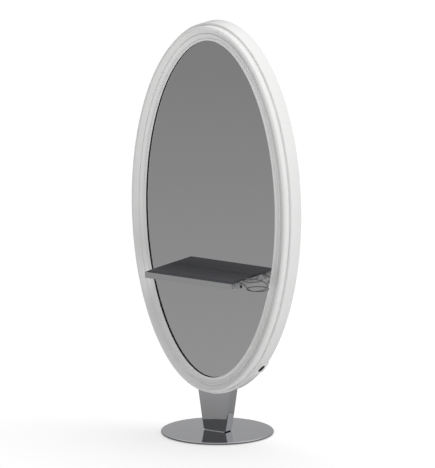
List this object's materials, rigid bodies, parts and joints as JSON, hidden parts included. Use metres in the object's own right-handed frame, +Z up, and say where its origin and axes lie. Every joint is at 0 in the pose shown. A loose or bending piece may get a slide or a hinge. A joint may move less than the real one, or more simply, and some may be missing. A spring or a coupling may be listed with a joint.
{
  "type": "salon styling mirror",
  "caption": "Floor-standing oval mirror in a deep stepped frame with a small shelf, a swivelling wire dryer holder and a mains socket, on a tapered pedestal and round base.",
  "frame": {"origin": "on the floor, under the middle of the round base", "axes": "+Z up; the mirror and its shelf face -Y; the dryer holder and the socket are on the +X side"},
  "size_m": [0.92, 0.55, 2.0455],
  "materials": {
    "white_lacquer": "smooth glossy white lacquer",
    "chrome": "polished chrome plate",
    "steel_sheet": "fine satin steel sheet",
    "dark_laminate": "dark grey fine-grained laminate",
    "mirror": "silvered float glass",
    "black_rubber": "black rubber",
    "fibreboard": "raw medium-density fibreboard",
    "black_steel": "black powder-coated steel",
    "zinc_steel": "zinc-plated steel",
    "white_plastic": "white moulded plastic",
    "grey_plastic": "dark grey moulded plastic"
  },
  "bodies": {
    "root": {"side_band": "white_lacquer", "outer_moulding": "white_lacquer", "inner_slip": "white_lacquer", "mirror_gasket": "black_rubber", "base_pad_ring": "black_rubber", "socket_lead": "black_rubber", "mirror_glass": "mirror", "mirror_backing": "fibreboard", "carcass_board": "fibreboard", "rear_batten_long": "fibreboard", "rear_batten_short": "fibreboard", "rear_cover": "white_plastic", "socket_plate": "white_plastic", "mast": "black_steel", "mast_foot_plate": "black_steel", "carrier_bar_low": "black_steel", "carrier_bar_high": "black_steel", "carrier_bar_shelf": "black_steel", "base_disc": "chrome", "pedestal_shell": "chrome", "holder_pin": "chrome", "shelf_top": "dark_laminate", "shelf_tray": "steel_sheet", "holder_bracket": "steel_sheet", "holder_knob": "grey_plastic", "socket_well": "grey_plastic", "socket_back_box": "grey_plastic", "power_inlet": "grey_plastic", "rear_cover_screw_1": "zinc_steel", "rear_cover_screw_2": "zinc_steel", "rear_cover_screw_3": "zinc_steel", "rear_cover_screw_4": "zinc_steel", "rear_cover_screw_5": "zinc_steel", "rear_cover_screw_6": "zinc_steel", "rear_cover_screw_7": "zinc_steel", "rear_cover_screw_8": "zinc_steel", "carrier_screw_1": "zinc_steel", "carrier_screw_2": "zinc_steel", "carrier_screw_3": "zinc_steel", "carrier_screw_4": "zinc_steel", "base_bolt_1": "zinc_steel", "base_bolt_2": "zinc_steel", "base_bolt_3": "zinc_steel", "base_bolt_4": "zinc_steel", "shelf_bolt_1": "zinc_steel", "shelf_bolt_2": "zinc_steel", "shelf_nut_1": "zinc_steel", "shelf_nut_2": "zinc_steel", "holder_screw_1": "zinc_steel", "holder_screw_2": "zinc_steel", "socket_earth_clip_1": "zinc_steel", "socket_earth_clip_2": "zinc_steel"},
    "dryer_holder": {"holder_coil": "chrome"}
  },
  "joints": [
    {"name": "dryer_holder_swivel", "type": "hinge", "parent": "root", "child": "dryer_holder", "pos_m": [0.268, -0.198, 0.8184], "axis": [0, 0, 1], "range_deg": [-90, 10]}
  ]
}
